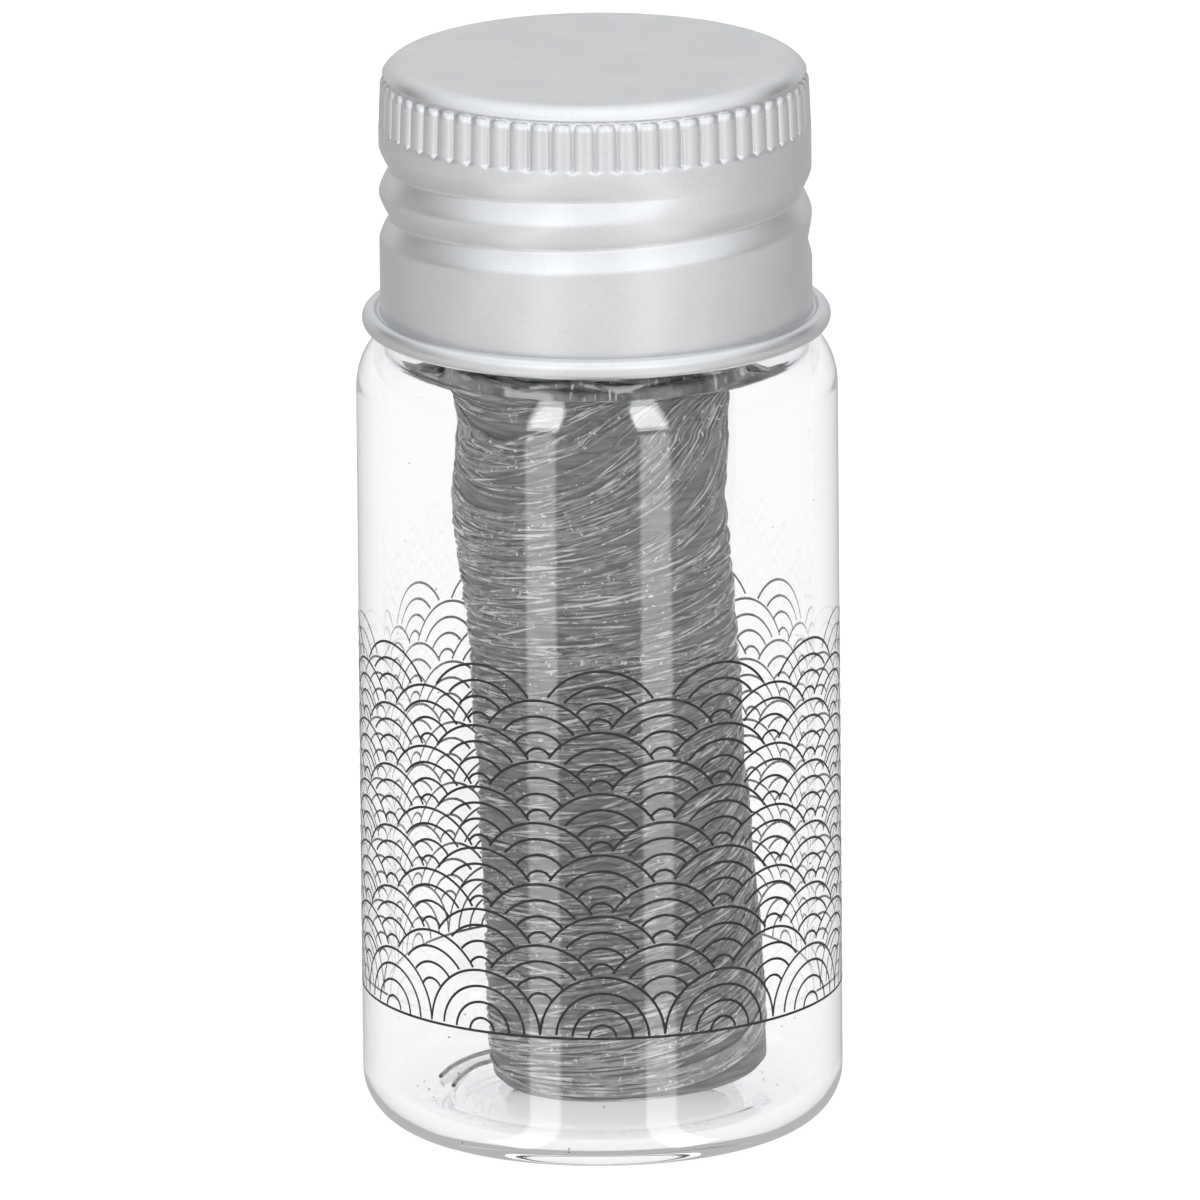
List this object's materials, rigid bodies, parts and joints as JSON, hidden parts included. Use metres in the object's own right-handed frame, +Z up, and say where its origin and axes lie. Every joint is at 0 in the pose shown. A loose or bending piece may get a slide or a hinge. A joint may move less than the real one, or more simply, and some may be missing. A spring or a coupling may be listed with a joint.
{
  "type": "dental floss dispenser",
  "caption": "Clear glass vial with a knurled aluminium screw cap, holding a wound package of charcoal floss that is drawn through a metal insert with a cutter tongue.",
  "frame": {"origin": "centre of the vial's base, on the surface it stands on", "axes": "+Z up along the vial's axis, -Y towards the viewer; the floss package leans towards -X"},
  "size_m": [0.022, 0.022, 0.0498],
  "materials": {
    "vial_glass": "clear, fire polished",
    "cap_aluminium": "satin",
    "insert_steel": "bright pressed sheet",
    "liner_foam": "soft foamed sheet",
    "floss_thread": "waxed thread",
    "print_ink": "printed ink"
  },
  "bodies": {
    "vial": {"glass_vial": "vial_glass", "dispensing_insert": "insert_steel", "floss_end": "floss_thread"},
    "package": {"floss_package": "floss_thread", "floss_outer_turns": "floss_thread"},
    "liner": {"cap_liner": "liner_foam"},
    "cap": {"screw_cap": "cap_aluminium"}
  },
  "joints": [
    {"name": "cap_lift", "type": "slide", "parent": "vial", "child": "liner", "axis": [0, 0, 1], "range_m": [0, 0.0158]},
    {"name": "cap_turn", "type": "hinge", "parent": "liner", "child": "cap", "pos_m": [0, 0, 0.0498], "axis": [0, 0, 1], "range_deg": [0, 2520]},
    {"name": "package_spin", "type": "hinge", "parent": "vial", "child": "package", "pos_m": [0.00142, 0, 0.00238], "axis": [-0.0608, 0, 0.9982], "continuous": true}
  ],
  "couplings": [
    {"joint": "cap_lift", "follows": "cap_turn", "m_per_rad": 0.0003581}
  ]
}
